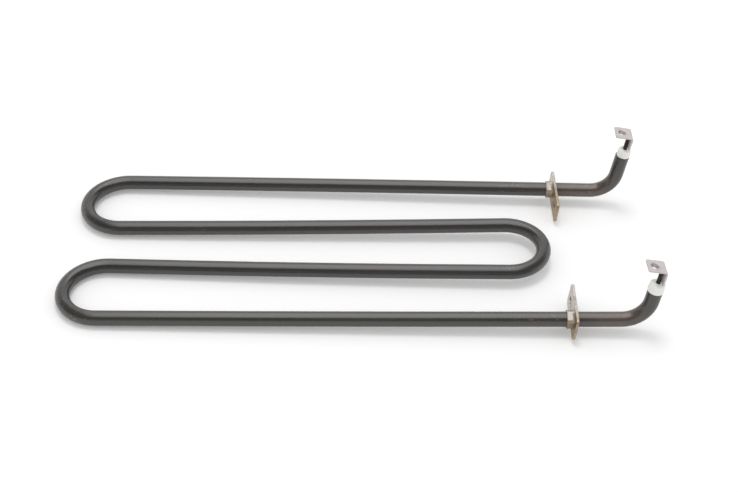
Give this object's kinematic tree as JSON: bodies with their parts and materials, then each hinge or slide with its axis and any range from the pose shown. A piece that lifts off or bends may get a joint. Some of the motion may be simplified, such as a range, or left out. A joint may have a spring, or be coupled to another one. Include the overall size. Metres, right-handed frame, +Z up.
{
  "type": "tubular heating element",
  "caption": "Serpentine tubular heating element: dark metal sheath in parallel runs, crimped mounting flanges, upturned ends with ceramic beads and folded screw tabs.",
  "frame": {"origin": "on the surface the element rests on, under the middle of its outline", "axes": "+X along the runs, from the return bends to the terminal ends; +Y towards the rear run; +Z up, the way the terminal legs rise"},
  "size_m": [0.3168, 0.1296, 0.0513],
  "materials": {
    "oxidised_sheath": "satin",
    "magnesia": "matte",
    "resistance_alloy": "satin",
    "pin_steel": "satin",
    "seal_resin": "matte",
    "white_ceramic": "matte",
    "tab_steel": "satin",
    "flange_steel": "satin"
  },
  "bodies": {
    "root": {"sheath_tube": "oxidised_sheath", "magnesia_fill": "magnesia", "resistance_coil": "resistance_alloy", "terminal_pin_rear": "pin_steel", "end_seal_rear": "seal_resin", "ceramic_bead_rear": "white_ceramic", "terminal_tab_rear": "tab_steel", "mounting_flange_rear": "flange_steel", "terminal_pin_front": "pin_steel", "end_seal_front": "seal_resin", "ceramic_bead_front": "white_ceramic", "terminal_tab_front": "tab_steel", "mounting_flange_front": "flange_steel"}
  },
  "joints": []
}
